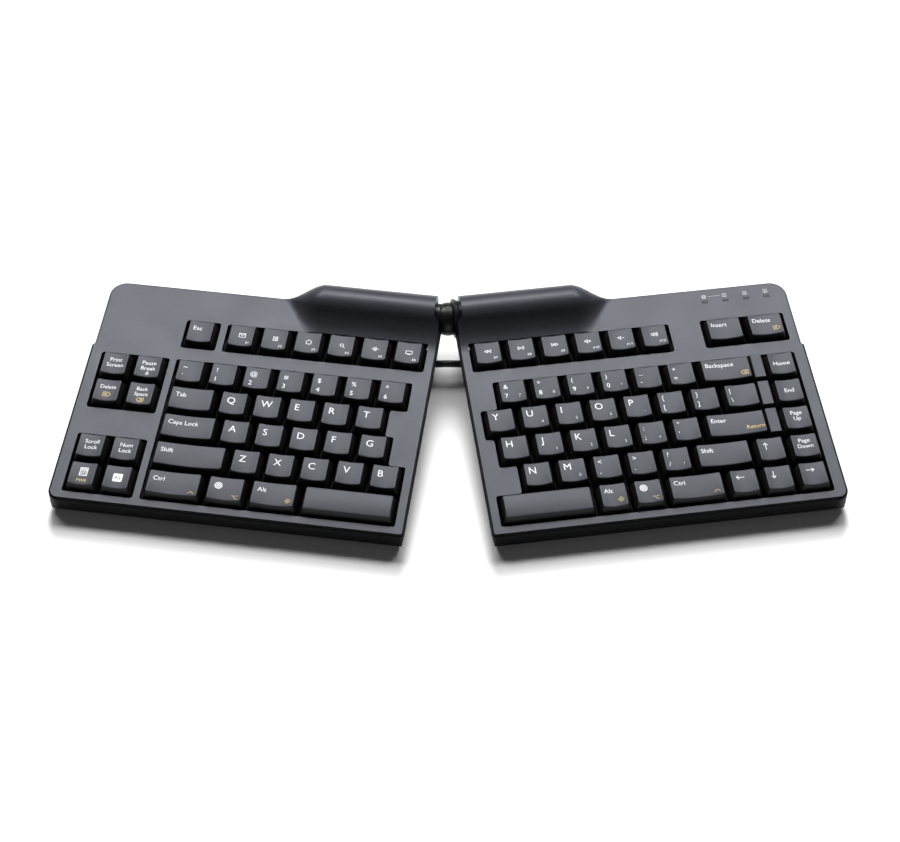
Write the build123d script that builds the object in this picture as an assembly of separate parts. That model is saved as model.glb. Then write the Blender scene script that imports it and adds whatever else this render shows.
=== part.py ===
from build123d import *
from math import cos, sin, sqrt, tan, pi, radians
import os

# Ergonomic split keyboard: two key halves on a lockable two-way joint at the rear.
# Millimetres and degrees. +X runs to the right, +Y to the rear, +Z up.
# Each half is drawn in its own frame: a is the distance outwards from the joint, y the distance
# to the rear of the joint, z the height over the desk. Deck places use a, v, w instead: v runs
# rearwards along the sloping key deck and w stands square to it, with w zero at the key tops.

# Whole object
deck_slope = 5.0
splay_at_rest = 8.0
splay_max = 30.0
tent_max = 30.0
joint_height = 25.2
joint_v = 135.7
joint_w = -5.3

# Keys
key_pitch = 19.05
key_gap = 0.75
key_top_inset = 2.3
key_front_inset = 1.95
key_top_round = 1.5
key_skirt_round = 0.9
key_height = 8.0
key_wall = 1.3
key_ceiling = 1.55
dish_depth = 0.9
space_crown = 0.8
key_travel = 3.5
stem_radius = 3.5
stem_length = 8.05
numbers_row_share = 4.0
function_row_share = 5.5
fade_share = 0.985
fade_steps = 7
column_left_start = 146.8
column_right_start = -96.1
filler_width = 6.3
filler_depth = 16.3
filler_drop = 0.2

# Casing
bezel_drop = 4.0
cover_thickness = 2.2
cover_wall = 2.2
inner_edge = 3.9
half_width = 192.2
front_edge_v = -14.2
rear_edge_y = 2.5
rim_width = 1.4
rim_step = 0.6
lip_round = 1.0
cover_fit = 0.2
skirt_start_y = -44.0
rear_corner_radius = 9.5
front_corner_radius = 4.5
inner_corner_radius = 1.0
rear_edge_round = 1.5
window_clearance = 0.5
window_round = 1.5
foot_height = 1.8
foot_radius = 6.0
foot_margin = 13.0
foot_inner_x = 22.0
foot_rear_y = -18.0
floor_thickness = 1.5
bottom_zone = 3.0
bottom_inset = 2.6
rim_land = 1.5
rim_inner_radius = 2.4
rim_front_radius = 7.0
inner_strip_end = 14.0
tab_half_width = 9.2
tray_wall = 2.2
flange_inset = 0.4
seam_gap = 0.2
undercut_share = 0.225
notch_front_y = -10.4
notch_rear_y = -7.3

# Rear hump
hump_radius = 12.6
hump_end = 7.2
hump_blend = 26.0
hump_fade_start = 71.0
hump_fade_end = 95.0
hump_cavity_end = 88.0

# Key mechanism under the deck
press_room = 0.3
frame_thickness = 1.4
sleeve_height = 4.8
sleeve_wall = 0.9
stem_clearance = 0.1
dome_height = 3.6
dome_base_radius = 3.3
dome_top_radius = 2.2
dome_wall = 0.6
dome_sheet_thickness = 0.8
membrane_thickness = 0.4
stack_front_margin = 0.7
rib_thickness = 1.6
rib_spacing = 36.0
rib_front_gap = 1.5
rib_count = 5
first_rib = 34.0
board_front_rib_y = -38.0
stack_rear_y = -24.0
stack_inner_limit = 8.0

# Screws and bosses
lane_boss_y = -45.0
lane_boss_first = 20.0
lane_boss_middle = 100.0
lane_boss_last = 186.0
rear_boss_y = -16.0
rear_boss_first = 60.0
rear_boss_last = 89.5
shank_screw_first = 19.0
shank_screw_last = 41.0
boss_radius = 3.2
screw_radius = 1.25
screw_head_radius = 2.7
screw_head_height = 1.2
screw_sink = 0.15
screw_length = 9.0
pilot_clearance = 0.06
tray_boss_height = 4.0
boss_room = 0.6

# Joint
ball_radius = 9.6
ball_bore_radius = 7.2
core_radius = 6.8
cup_bore_radius = 10.0
cup_start = 2.4
cup_lip_radius = 10.6
cup_ridge_radius = 11.6
cup_ridge_at = 3.3
cup_back_radius = 10.0
cup_neck_radius = 9.6
cup_neck_at = 6.3
neck_radius = 8.4
neck_start = 4.6
neck_taper = 0.2
neck_hole_clearance = 1.1
cup_hole_clearance = 0.3
cup_room_gap = 0.35
neck_inner_radius = 7.5
window_spare = 0.65
trunnion_radius = 2.0
trunnion_reach = 9.0
running_clearance = 0.06
hub_clearance = 0.02
tent_pin_radius = 1.5
tent_pin_length = 10.4
tongue_thickness = 4.2
tongue_half_height = 2.6
tongue_eye_radius = 3.3
slot_clearance = 0.3
shank_start = 10.0
shank_end = 46.0
shank_half = 6.5
shank_foot_drop = 10.0
post_start = 16.0
rod_radius = 2.4
rod_length = 41.0
rod_tip_gap = 0.35
rod_fit = 0.1
lever_hub_radius = 5.4
lever_hub_start = 26.0
lever_hub_length = 10.0
lever_side_gap = 0.4
lever_arm_width = 6.0
lever_arm_thickness = 3.0
lever_pad_gap = 0.6
lever_pad_thickness = 2.4
lever_pad_length = 22.0
lever_pad_height = 9.0
lever_pad_rise = 0.8
lever_travel = 30.0
lever_slot_margin = 9.0

# Bridge cable between the halves
cable_diameter = 4.1
cable_y = -22.2
cable_end = 15.0
cable_hole_clearance = 0.5
cable_sink = 0.2
cable_height = 9.9
cable_rise_at_wall = 0.4
cable_arch = 2.2
cable_wall_x = 5.0
cable_arc_share = 0.45

# Electronics
board_thickness = 1.2
link_board_start = 16.0
link_board_length = 30.0
link_board_front_y = -34.0
link_board_depth = 17.0
board_height = 6.0
board_post_radius = 2.2
board_post_gap = 0.6
connector_length = 8.0
connector_width = 8.0
connector_height = 5.2
chip_size = 9.0
chip_height = 1.4
led_board_start = 139.0
led_board_end = 192.0
led_board_depth = 9.0
led_row_v = 128.0
led_spacing = 12.05
led_first_a = 147.7
led_count = 4
led_size = 2.0
led_height = 1.0
lens_width = 3.4
lens_depth = 1.7
lens_fit = 0.1
lens_gap = 0.3
lens_sink = 0.05
led_board_drop = 6.0

# Battery bay
cell_radius = 5.25
cell_length = 44.5
cell_nub_length = 1.0
cell_nub_radius = 2.2
cell_start = 99.0
cell_gap = 0.4
cell_y = -9.0
cell_floor_gap = 0.35
door_side_gap = 0.3
door_margin = 2.5
door_front_y = -16.0
door_thickness = 1.4
bay_wall = 1.4
bay_wall_height = 11.0

# Named values that follow from the ones above
overrun = 1.0
far = 400.0
cos_deck = cos(radians(deck_slope))
sin_deck = sin(radians(deck_slope))
tan_deck = tan(radians(deck_slope))
outer_edge = inner_edge + half_width
rim_inner = inner_edge - rim_width
rim_outer = outer_edge + rim_width
floor_top = foot_height + floor_thickness
zone_top = foot_height + bottom_zone
bezel_over_joint = -bezel_drop - joint_w
front_edge_y = (front_edge_v - joint_v) * cos_deck - bezel_over_joint * sin_deck
rim_front_y = front_edge_y - rim_width
frame_top_w = -key_height - key_travel - press_room
frame_bottom_w = frame_top_w - frame_thickness
sheet_bottom_w = frame_bottom_w - dome_sheet_thickness
membrane_bottom_w = sheet_bottom_w - membrane_thickness
shank_seat_z = joint_height - shank_foot_drop
left_hole_radius = neck_radius + neck_hole_clearance
right_hole_radius = cup_neck_radius + cup_hole_clearance
sleeve_bore = stem_radius + stem_clearance
sleeve_radius = sleeve_bore + sleeve_wall

deck = (Pos(0, 0, joint_height) * Rot(deck_slope, 0, 0)
        * Pos(0, -joint_v, -joint_w))
left_place = Rot(0, 0, -splay_at_rest)
right_place = Rot(0, 0, splay_at_rest)


# Small helpers

def block(a0, a1, y0, y1, z0, z1):
    """A box between two corners."""
    return Pos((a0 + a1) / 2, (y0 + y1) / 2, (z0 + z1) / 2) * Box(a1 - a0, y1 - y0, z1 - z0)


def rod_along_x(radius, x0, x1, y=0, z=0):
    """A round bar along X."""
    return Pos((x0 + x1) / 2, y, z) * Rot(0, 90, 0) * Cylinder(radius, x1 - x0)


def post(radius, x, y, z0, z1):
    """A round post standing from z0 to z1."""
    return Pos(x, y, (z0 + z1) / 2) * Cylinder(radius, z1 - z0)


def prism(points, z0, z1, radii=0):
    """An upright prism on a plan outline, with rounded corners."""
    outline = FilletPolyline(*points, radius=radii, close=True)
    return Pos(0, 0, z0) * extrude(make_face(outline.edges()), z1 - z0)


def height_of_deck(w, y):
    """Height over the desk of the plane at depth w, at a distance y behind the joint."""
    return joint_height + (w - joint_w) / cos_deck + y * tan_deck


def above_deck(w):
    """Everything above the plane at depth w."""
    return deck * Pos(0, joint_v, w + far / 2) * Box(2 * far, 2 * far, far)


def whole(shape):
    """The shape as a plain compound of its solids."""
    solids = shape.solids()
    return solids[0] if len(solids) == 1 else Compound(solids)


# Key layout. Each row holds cells as (name, start, end) in key pitches from the first column,
# which the left half counts from its own left edge and the right half from its own.

left_rows_share = [
    (0, [("left_control", 0, 1.75), ("left_system", 1.75, 3), ("left_alt", 3, 4.5),
         ("left_space_bar", 4.5, 7.25)]),
    (1, [("left_shift", 0, 2.25), ("key_z", 2.25, 3.25), ("key_x", 3.25, 4.25),
         ("key_c", 4.25, 5.25), ("key_v", 5.25, 6.25), ("key_b", 6.25, 7.25)]),
    (2, [("caps_lock", 0, 1.75), ("key_a", 1.75, 2.75), ("key_s", 2.75, 3.75),
         ("key_d", 3.75, 4.75), ("key_f", 4.75, 5.75), ("key_g", 5.75, 6.75)]),
    (3, [("tab", 0, 1.5), ("key_q", 1.5, 2.5), ("key_w", 2.5, 3.5), ("key_e", 3.5, 4.5),
         ("key_r", 4.5, 5.5), ("key_t", 5.5, 6.5)]),
    (numbers_row_share, [("left_number_%d" % n, n, n + 1) for n in range(7)]),
    (function_row_share, [("escape", 0, 1)]
     + [("function_%d" % n, n + 0.25, n + 1.25) for n in range(1, 7)]),
]
side_rows_share = [
    (row, [("side_%s_%d" % (row, n), n - 2.25, n - 1.25) for n in range(2)])
    for row in (0, 1, 3, 4)
]
right_rows_share = [
    (0, [("right_space_bar", 5.5, 8.25), ("right_alt", 8.25, 9.25), ("right_system", 9.25, 10.25),
         ("right_control", 10.25, 12), ("arrow_left", 12, 13), ("arrow_down", 13, 14),
         ("arrow_right", 14, 15)]),
    (1, [("key_n", 6.25, 7.25), ("key_m", 7.25, 8.25), ("comma", 8.25, 9.25), ("period", 9.25, 10.25),
         ("slash", 10.25, 11.25), ("right_shift", 11.25, 13), ("arrow_up", 13, 14),
         ("page_down", 14, 15)]),
    (2, [("key_h", 5.75, 6.75), ("key_j", 6.75, 7.75), ("key_k", 7.75, 8.75), ("key_l", 8.75, 9.75),
         ("semicolon", 9.75, 10.75), ("quote", 10.75, 11.75), ("enter", 11.75, 13.62),
         ("page_up", 14, 15)]),
    (3, [("key_y", 5.5, 6.5), ("key_u", 6.5, 7.5), ("key_i", 7.5, 8.5), ("key_o", 8.5, 9.5),
         ("key_p", 9.5, 10.5), ("bracket_open", 10.5, 11.5), ("bracket_close", 11.5, 12.5),
         ("backslash", 12.5, 13.62), ("end", 14, 15)]),
    (numbers_row_share, [("right_number_%d" % n, n, n + 1) for n in range(6, 12)]
     + [("backspace", 12, 13.62), ("home", 14, 15)]),
    (function_row_share, [("function_%d" % n, n - 1.5, n - 0.5) for n in range(7, 13)]
     + [("insert", 12.5, 13.75), ("delete", 13.75, 15)]),
]
window_rows_share = {
    "left": [
        [(0, 1, 5, 6)],
        [(1.25, 7.25, 5, 6)],
        [(-2.25, -0.25, 2.5, 4.5)],
        [(-2.25, -0.25, -0.5, 1.5)],
        [(0, 7.25, -0.5, 1.5), (0, 6.75, 1.5, 2.5), (0, 6.5, 2.5, 3.5), (0, 7, 3.5, 4.5)],
    ],
    "right": [
        [(5.5, 11.5, 5, 6)],
        [(12.5, 15, 5, 6)],
        [(5.5, 15, -0.5, 0.5), (6.25, 15, 0.5, 1.5), (5.75, 15, 1.5, 2.5),
         (5.5, 15, 2.5, 3.5), (6, 15, 3.5, 4.5)],
    ],
}
filler_rows_share = (4.0, 3.0, 2.0)
filler_start_share = 13.63


def from_joint(side, column):
    """Distance outwards from the joint of a column of the key grid."""
    if side == "left":
        return column_left_start - column * key_pitch
    return column_right_start + column * key_pitch


def key_cells(side):
    """Every key of a half: name, column start, column end and row, in pitches."""
    rows = left_rows_share + side_rows_share if side == "left" else right_rows_share
    return [(name, start, end, row) for row, cells in rows for name, start, end in cells]


def key_middle(side, start, end, row):
    """The middle of a key's cell on the deck."""
    return from_joint(side, (start + end) / 2), row * key_pitch


# Keys

def slab_outline(width, depth, radius, w, shift=0):
    """A rounded rectangle lying at depth w."""
    return Pos(shift, 0, w) * RectangleRounded(width, depth, radius)


def key_cap(width, narrow_side=0):
    """A hollow tapered cap with a dished top, and its guide stem."""
    base_depth = key_pitch - key_gap
    top_width = width - 2 * key_top_inset + narrow_side
    top_depth = base_depth - 2 * key_front_inset
    shift = narrow_side / 2
    crest = dish_depth / 2
    shell = loft([slab_outline(width, base_depth, key_skirt_round, -key_height),
                  slab_outline(top_width, top_depth, key_top_round, crest, shift)])
    inner_round = key_skirt_round / 2
    hollow = loft([slab_outline(width - 2 * key_wall, base_depth - 2 * key_wall, inner_round,
                                -key_height),
                   slab_outline(top_width - 2 * key_wall, top_depth - 2 * key_wall, inner_round,
                                -key_ceiling - crest, shift)])
    dish_radius = (top_width ** 2 / 4 + dish_depth ** 2) / (2 * dish_depth)
    dish = Pos(shift, 0, dish_radius - crest) * Rot(90, 0, 0) * Cylinder(dish_radius, 2 * key_pitch)
    stem_top = -key_ceiling
    stem = post(stem_radius, 0, 0, stem_top - stem_length, stem_top)
    return whole(shell - dish - hollow + stem)


def space_cap(width):
    """The same for a space bar, whose top is rounded over from front to rear."""
    base_depth = key_pitch - key_gap
    top_width = width - 2 * key_top_inset
    top_depth = base_depth - 2 * key_front_inset
    crest = space_crown / 2
    shell = loft([slab_outline(width, base_depth, key_skirt_round, -key_height),
                  slab_outline(top_width, top_depth, key_top_round, crest)])
    inner_round = key_skirt_round / 2
    hollow = loft([slab_outline(width - 2 * key_wall, base_depth - 2 * key_wall, inner_round,
                                -key_height),
                   slab_outline(top_width - 2 * key_wall, top_depth - 2 * key_wall, inner_round,
                                -key_ceiling - crest)])
    crown_radius = (top_depth ** 2 / 4 + space_crown ** 2) / (2 * space_crown)
    crown = Pos(0, 0, crest - crown_radius) * Rot(0, 90, 0) * Cylinder(crown_radius, 2 * width)
    stem_top = -key_ceiling
    stem = post(stem_radius, 0, 0, stem_top - stem_length, stem_top)
    return whole((shell & crown) - hollow + stem)


def build_keys(side):
    """Every cap of a half at its place, by name."""
    place = left_place if side == "left" else right_place
    sign = -1 if side == "left" else 1
    caps = {}
    keys = {}
    for name, start, end, row in key_cells(side):
        cells = round(end - start, 4)
        width = cells * key_pitch - key_gap
        spare = 0 if round(end * 4, 3) == round(end * 4) else key_top_inset / 2
        if (cells, spare) not in caps:
            caps[cells, spare] = space_cap(width) if "space" in name else key_cap(width, spare)
        a, v = key_middle(side, start, end, row)
        keys[name] = place * deck * Pos(sign * a, v, 0) * caps[cells, spare]
    return keys


# Casing shapes that both halves share, drawn for the right half

def ease(t):
    """A smooth step from 0 to 1."""
    return t * t * (3 - 2 * t)


def hump_circle(share):
    """The round back of the hump: its centre, radius and depth, for a share of its full height."""
    radius = rear_edge_round + (hump_radius - rear_edge_round) * share
    depth = rear_edge_round + (bezel_over_joint - rear_edge_round) * share
    drop = depth - bezel_over_joint
    centre_y = drop * sin_deck + (rear_edge_y - rear_edge_round) * (1 - share)
    return centre_y, joint_height - drop * cos_deck, radius, depth


def hump_section(x, share, inset, bottom):
    """The hump's outline at one place along it: blend, round back and straight rear wall."""
    centre_y, centre_z, radius, depth = hump_circle(share)
    centre = Vector(x, centre_y, centre_z)
    along = Vector(0, cos_deck, sin_deck)
    normal = Vector(0, -sin_deck, cos_deck)
    reach = sqrt((radius + hump_blend) ** 2 - (hump_blend + depth) ** 2)
    blend = centre + normal * (hump_blend + depth) - along * reach
    blend_radius = hump_blend + inset
    back_radius = radius - inset
    start = blend - normal * blend_radius
    to_centre = (centre - blend).normalized()
    meet = blend + to_centre * blend_radius
    middle = blend + (to_centre - normal).normalized() * blend_radius
    rear = centre + Vector(0, back_radius, 0)
    crown = centre + (Vector(0, 1, 0) - to_centre).normalized() * back_radius
    rear_low = Vector(x, rear.Y, bottom)
    start_low = Vector(x, start.Y, bottom)
    return Wire([
        ThreePointArc(start, middle, meet).edge(),
        ThreePointArc(meet, crown, rear).edge(),
        Line(rear, rear_low).edge(),
        Line(rear_low, start_low).edge(),
        Line(start_low, start).edge(),
    ])


def hump_rise(x, y):
    """How far the hump's blend stands over the deck at a place in front of its round back."""
    t = min(max((x - hump_fade_start) / (hump_fade_end - hump_fade_start), 0), 1)
    centre_y, centre_z, radius, depth = hump_circle(1 - ease(t) * fade_share)
    reach = sqrt((radius + hump_blend) ** 2 - (hump_blend + depth) ** 2)
    run = (centre_y - depth * sin_deck - y) / cos_deck
    from_toe = max(reach - run, 0)
    return hump_blend - sqrt(hump_blend ** 2 - from_toe ** 2)


def hump_solid(inset, bottom, x_start, x_end):
    """The hump and its fade, or the hollow inside them when inset is more than zero."""
    level = Solid.extrude(Face(hump_section(x_start, 1, inset, bottom)),
                          Vector(hump_fade_start - x_start, 0, 0))
    sections = []
    for i in range(fade_steps + 1):
        x = hump_fade_start + (x_end - hump_fade_start) * i / fade_steps
        t = (x - hump_fade_start) / (hump_fade_end - hump_fade_start)
        sections.append(hump_section(x, 1 - ease(t) * fade_share, inset, bottom))
    return [level, Solid.make_loft(sections)]


def hump_plan(inset, z0, z1):
    """The upright prism under the hump, with the same fading rear edge."""
    points = []
    for i in range(fade_steps + 1):
        t = i / fade_steps
        centre_y, centre_z, radius, depth = hump_circle(ease(t))
        x = hump_fade_end - (hump_fade_end - hump_fade_start) * t
        points.append((x, centre_y + radius - inset))
    last_x, last_y = points[-1]
    edge = Spline(*points, tangents=[(-1, 0), (-1, 0)])
    sides = Polyline((last_x, last_y), (hump_end, last_y), (hump_end, notch_rear_y),
                     (hump_fade_end, notch_rear_y), points[0])
    face = make_face(edge.edges() + sides.edges())
    return Pos(0, 0, z0) * extrude(face, z1 - z0)


def lean(edge, v0, v1, w_top, shift=0):
    """The wedge that leans an inner wall away from the other half, below w_top."""
    drop = joint_height + joint_v * tan_deck
    top_x = edge + shift
    profile = make_face(Polyline(
        (-far, 0, w_top), (top_x, 0, w_top), (top_x + undercut_share * drop, 0, w_top - drop),
        (-far, 0, w_top - drop), close=True))
    return deck * Pos(0, v1, 0) * extrude(profile, v1 - v0, dir=(0, -1, 0))


def inner_leans(shift):
    """Both wedges: along the inner edge, and behind the notch under the hump's end."""
    notch_v = joint_v + notch_rear_y
    return (lean(rim_inner, -far, notch_v, -bezel_drop - rim_step - rim_land, shift)
            + lean(hump_end, notch_v, far, joint_w, shift))


def boss_places():
    """Where the casing screws stand."""
    return ([(x, lane_boss_y) for x in (lane_boss_first, lane_boss_middle, lane_boss_last)]
            + [(x, rear_boss_y) for x in (rear_boss_first, rear_boss_last)])


def shank_screw_places():
    """Where the two screws of a joint shank stand."""
    return [(x, 0) for x in (shank_screw_first, shank_screw_last)]


def windows(side):
    """The openings for the keys, square to the deck."""
    cuts = []
    for group in window_rows_share[side]:
        sketch = Sketch()
        for start, end, low, high in group:
            a0, a1 = sorted((from_joint(side, start), from_joint(side, end)))
            width = a1 - a0 + 2 * window_clearance
            depth = (high - low) * key_pitch + 2 * window_clearance
            middle = (low + high) / 2 * key_pitch
            sketch += Pos((a0 + a1) / 2, middle) * Rectangle(width, depth)
        sketch = fillet(sketch.vertices(), window_round)
        cuts.append(deck * Pos(0, 0, -key_height) * extrude(sketch, key_height))
    return cuts


def build_cover(side):
    """The dark shell over the keys, with its windows, rear wall and half of the hump."""
    top = above_deck(-bezel_drop)
    under_w = -bezel_drop - cover_thickness
    below_plate = block(-far, far, -far, far, -far, far) - above_deck(under_w)
    skirt_bottom = zone_top + seam_gap
    high = hump_radius + joint_height
    plate = prism(
        [(inner_edge, front_edge_y), (outer_edge, front_edge_y), (outer_edge, 0), (hump_end, 0),
         (hump_end, notch_rear_y), (inner_edge, notch_front_y)],
        0, high, [inner_corner_radius, front_corner_radius, 0, 0, 0, 0])
    plate = plate - top - below_plate - block(hump_fade_end, far, skirt_start_y, far, 0, high)
    rear = prism(
        [(hump_fade_end, skirt_start_y), (outer_edge, skirt_start_y), (outer_edge, rear_edge_y),
         (hump_fade_end, rear_edge_y)],
        skirt_bottom, high, [0, 0, rear_corner_radius, 0]) - top
    lid = rear.faces().sort_by(Axis.Z)[-1]
    crisp = [e for e in lid.edges() if e.center().Y > skirt_start_y + rear_edge_round
             and e.center().X > hump_fade_end + rear_edge_round]
    rear = fillet(crisp, rear_edge_round)
    notch = prism([(-far, notch_front_y), (inner_edge, notch_front_y), (hump_end, notch_rear_y),
                   (hump_end, far), (-far, far)], 0, 2 * high)
    hollows = hump_solid(cover_wall, 0, -overrun, hump_cavity_end)
    hollows.append(prism(
        [(-overrun, skirt_start_y - overrun), (outer_edge - cover_wall, skirt_start_y - overrun),
         (outer_edge - cover_wall, rear_edge_y - cover_wall), (-overrun, rear_edge_y - cover_wall)],
        0, high, [0, 0, rear_corner_radius - cover_wall, 0]) & below_plate)
    end_wall = (block(-far, hump_end + cover_wall, notch_rear_y, far, 0, 2 * high)
                + lean(hump_end, joint_v + notch_rear_y, far, joint_w, cover_wall))
    body = Part() + [plate, rear] + hump_solid(0, skirt_bottom, inner_edge, hump_fade_end)
    body = body - (Part() + hollows - end_wall) - notch
    body = body - lean(hump_end, joint_v + notch_rear_y, far, joint_w)
    bosses = []
    pilots = []
    for x, y in boss_places():
        front_y = y - boss_radius
        boss_top = (height_of_deck(-bezel_drop - cover_thickness / 2, front_y)
                    + hump_rise(x, front_y))
        boss_low = floor_top + tray_boss_height
        bosses.append(post(boss_radius, x, y, boss_low, boss_top))
        pilots.append(post(screw_radius + pilot_clearance, x, y, boss_low - overrun,
                           boss_top - cover_thickness))
    body = body + bosses - pilots
    return body - windows(side)


def cup_outline(gap):
    """Lip, ridge and back of the cup as places along the joint and radii, grown by a gap."""
    return [(cup_start - gap, cup_lip_radius + gap), (cup_ridge_at, cup_ridge_radius + gap),
            (cup_neck_at + gap, cup_back_radius + gap)]


def cup_room():
    """The scoop in the edges of the right half that lets the cup's ridge in."""
    outline = cup_outline(cup_room_gap)
    corners = [(outline[0][0], 0)] + outline + [(outline[-1][0], 0)]
    profile = make_face(Polyline(*[(x, 0, r) for x, r in corners], close=True))
    return Pos(0, 0, joint_height) * revolve(profile, Axis.X)


def tray_base(inset, z0, z1):
    """The rear part of the tray's outline, with its rounded outer corner."""
    side_x = outer_edge - flange_inset - inset
    rear_y = rear_edge_y - flange_inset - inset
    return prism([(hump_end, skirt_start_y - 2 * tray_wall), (side_x, skirt_start_y - 2 * tray_wall),
                  (side_x, rear_y), (hump_end, rear_y)],
                 z0, z1, [0, 0, rear_corner_radius - flange_inset - inset, 0])


def build_tray(side):
    """The black tray: floor, front and side walls, posts, ribs and screw bosses."""
    hole_radius = left_hole_radius if side == "left" else right_hole_radius
    high = hump_radius + joint_height
    rear_y = rear_edge_y - flange_inset
    side_x = outer_edge - flange_inset
    front = prism(
        [(rim_inner, rim_front_y), (rim_outer, rim_front_y), (rim_outer, skirt_start_y - seam_gap),
         (inner_strip_end, skirt_start_y - seam_gap), (inner_strip_end, notch_rear_y),
         (hump_end, notch_rear_y), (rim_inner, notch_front_y)],
        foot_height, high, [rim_inner_radius, rim_front_radius, 0, 0, 0, 0, 0])
    front = front - above_deck(-bezel_drop - rim_step)
    lip = front.faces().sort_by(Axis.Z)[-1]
    outer = [e for e in lip.edges() if e.center().Y < skirt_start_y - seam_gap - lip_round]
    front = fillet(outer, lip_round)
    base = tray_base(0, foot_height, zone_top)
    end_tab = block(hump_end, post_start, -tab_half_width, tab_half_width, foot_height, shank_seat_z)
    outside = front + base + hump_plan(flange_inset, foot_height, zone_top) + end_tab

    seat_x0 = inner_edge - cover_fit
    seat_x1 = outer_edge + cover_fit
    seat_y = front_edge_y - cover_fit
    seat = prism([(seat_x0, seat_y), (seat_x1, seat_y), (seat_x1, far), (seat_x0, far)],
                 0, high, [inner_corner_radius, front_corner_radius, 0, 0])
    seat = seat & above_deck(-bezel_drop - cover_thickness)
    room_x0 = rim_inner + tray_wall
    room_x1 = rim_outer - tray_wall
    room_x2 = side_x - tray_wall
    room_y1 = skirt_start_y - tray_wall
    room_y2 = rear_y - tray_wall
    room = prism(
        [(room_x0, rim_front_y + tray_wall), (room_x1, rim_front_y + tray_wall), (room_x1, room_y1),
         (room_x2, room_y1), (room_x2, room_y2), (hump_end + tray_wall, room_y2),
         (hump_end + tray_wall, notch_rear_y - tray_wall), (room_x0, notch_front_y - tray_wall)],
        floor_top, high,
        [0, rim_front_radius - tray_wall, 0, 0, rear_corner_radius - tray_wall, 0, 0, 0])
    hump_room = hump_plan(flange_inset + tray_wall, floor_top, high) & block(
        hump_end + tray_wall, far, -far, far, 0, high)
    inside = (room + hump_room) - inner_leans(tray_wall)
    joint_room = rod_along_x(hole_radius, 0, post_start, 0, joint_height)
    shell = outside - inside - seat - inner_leans(0) - joint_room
    if side == "right":
        shell = shell - cup_room()

    bevel_front = make_face(Polyline(
        (0, rim_front_y - overrun, foot_height - overrun),
        (0, rim_front_y + bottom_inset + overrun, foot_height - overrun),
        (0, rim_front_y + bottom_inset, foot_height), (0, rim_front_y, zone_top),
        (0, rim_front_y - overrun, zone_top), close=True))
    bevel_side = make_face(Polyline(
        (rim_outer + overrun, 0, foot_height - overrun),
        (rim_outer - bottom_inset - overrun, 0, foot_height - overrun),
        (rim_outer - bottom_inset, 0, foot_height), (rim_outer, 0, zone_top),
        (rim_outer + overrun, 0, zone_top), close=True))
    shell = (shell - extrude(bevel_front, far, dir=(1, 0, 0))
             - Pos(0, skirt_start_y, 0) * extrude(bevel_side, far, dir=(0, -1, 0)))

    rib_top = deck * Pos(0, 0, membrane_bottom_w + far / 2) * Box(2 * far, 2 * far, far)
    adds = []
    for i in range(rib_count):
        x = first_rib + i * rib_spacing
        rear_end = board_front_rib_y if x < link_board_start + link_board_length else stack_rear_y
        adds.append(block(x, x + rib_thickness, rim_front_y + tray_wall + rib_front_gap,
                          rear_end, floor_top - overrun / 2, high) - rib_top)
    adds.append(block(post_start, shank_end, -shank_half, shank_half, floor_top - overrun / 2,
                      shank_seat_z))
    for x, y in boss_places():
        adds.append(post(boss_radius, x, y, floor_top - overrun / 2, floor_top + tray_boss_height))
    for x in (link_board_start + board_post_radius + board_post_gap,
              link_board_start + link_board_length - board_post_radius - board_post_gap):
        for y in (link_board_front_y + board_post_radius + board_post_gap,
                  link_board_front_y + link_board_depth - board_post_radius - board_post_gap):
            adds.append(post(board_post_radius, x, y, floor_top - overrun / 2, board_height))
    holes = [rod_along_x(cable_diameter / 2 + cable_hole_clearance, 0, cable_end, cable_y,
                         cable_height + cable_rise_at_wall)]
    for x, y in boss_places() + shank_screw_places():
        holes.append(post(screw_head_radius + pilot_clearance, x, y, 0,
                          foot_height + screw_head_height))
        holes.append(post(screw_radius + pilot_clearance, x, y, 0, joint_height))
    tray = shell + adds
    if side == "right":
        door_x0, door_x1 = door_span()
        tray = tray - block(door_x0 - door_side_gap, door_x1 + door_side_gap,
                            door_front_y - door_side_gap, far, 0, zone_top + overrun)
        wall_y = door_front_y - door_side_gap - bay_wall
        wall_x = door_x0 - door_side_gap - bay_wall
        wall_top = floor_top + bay_wall_height
        tray = tray + [
            block(wall_x, outer_edge - cover_wall - seam_gap, wall_y - bay_wall, wall_y,
                  floor_top - overrun / 2, wall_top),
            block(wall_x - bay_wall, wall_x, wall_y - bay_wall, -cell_radius / 2,
                  floor_top - overrun / 2, wall_top),
        ]
    return tray - holes


# Key mechanism

def stack_outline(side):
    """Plan corners of the plates under the keys, on the deck."""
    cells = key_cells(side)
    ends = ([from_joint(side, start) for name, start, end, row in cells]
            + [from_joint(side, end) for name, start, end, row in cells])
    inner = max(min(ends), stack_inner_limit)
    outer = max(ends) + window_clearance
    front = -(key_pitch + stack_front_margin) / 2
    rear = function_row_share * key_pitch + (key_pitch + stack_front_margin) / 2
    return inner, outer, front, rear


def stack_plate(side, w0, w1):
    """One flat sheet of the stack, with room for the casing bosses."""
    inner, outer, front, rear = stack_outline(side)
    plate = deck * block(inner, outer, front, rear, w0, w1)
    room = [post(boss_radius + boss_room, x, y, 0, joint_height) for x, y in boss_places()]
    return plate - room


def build_key_frame(side):
    """The guide plate with one sleeve for each key."""
    places = [key_middle(side, start, end, row) for name, start, end, row in key_cells(side)]
    sleeves = [deck * post(sleeve_radius, a, v, frame_bottom_w, frame_top_w + sleeve_height)
               for a, v in places]
    bores = [deck * post(sleeve_bore, a, v, frame_bottom_w - overrun,
                         frame_top_w + sleeve_height + overrun) for a, v in places]
    return stack_plate(side, frame_bottom_w, frame_top_w) + sleeves - bores


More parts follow.
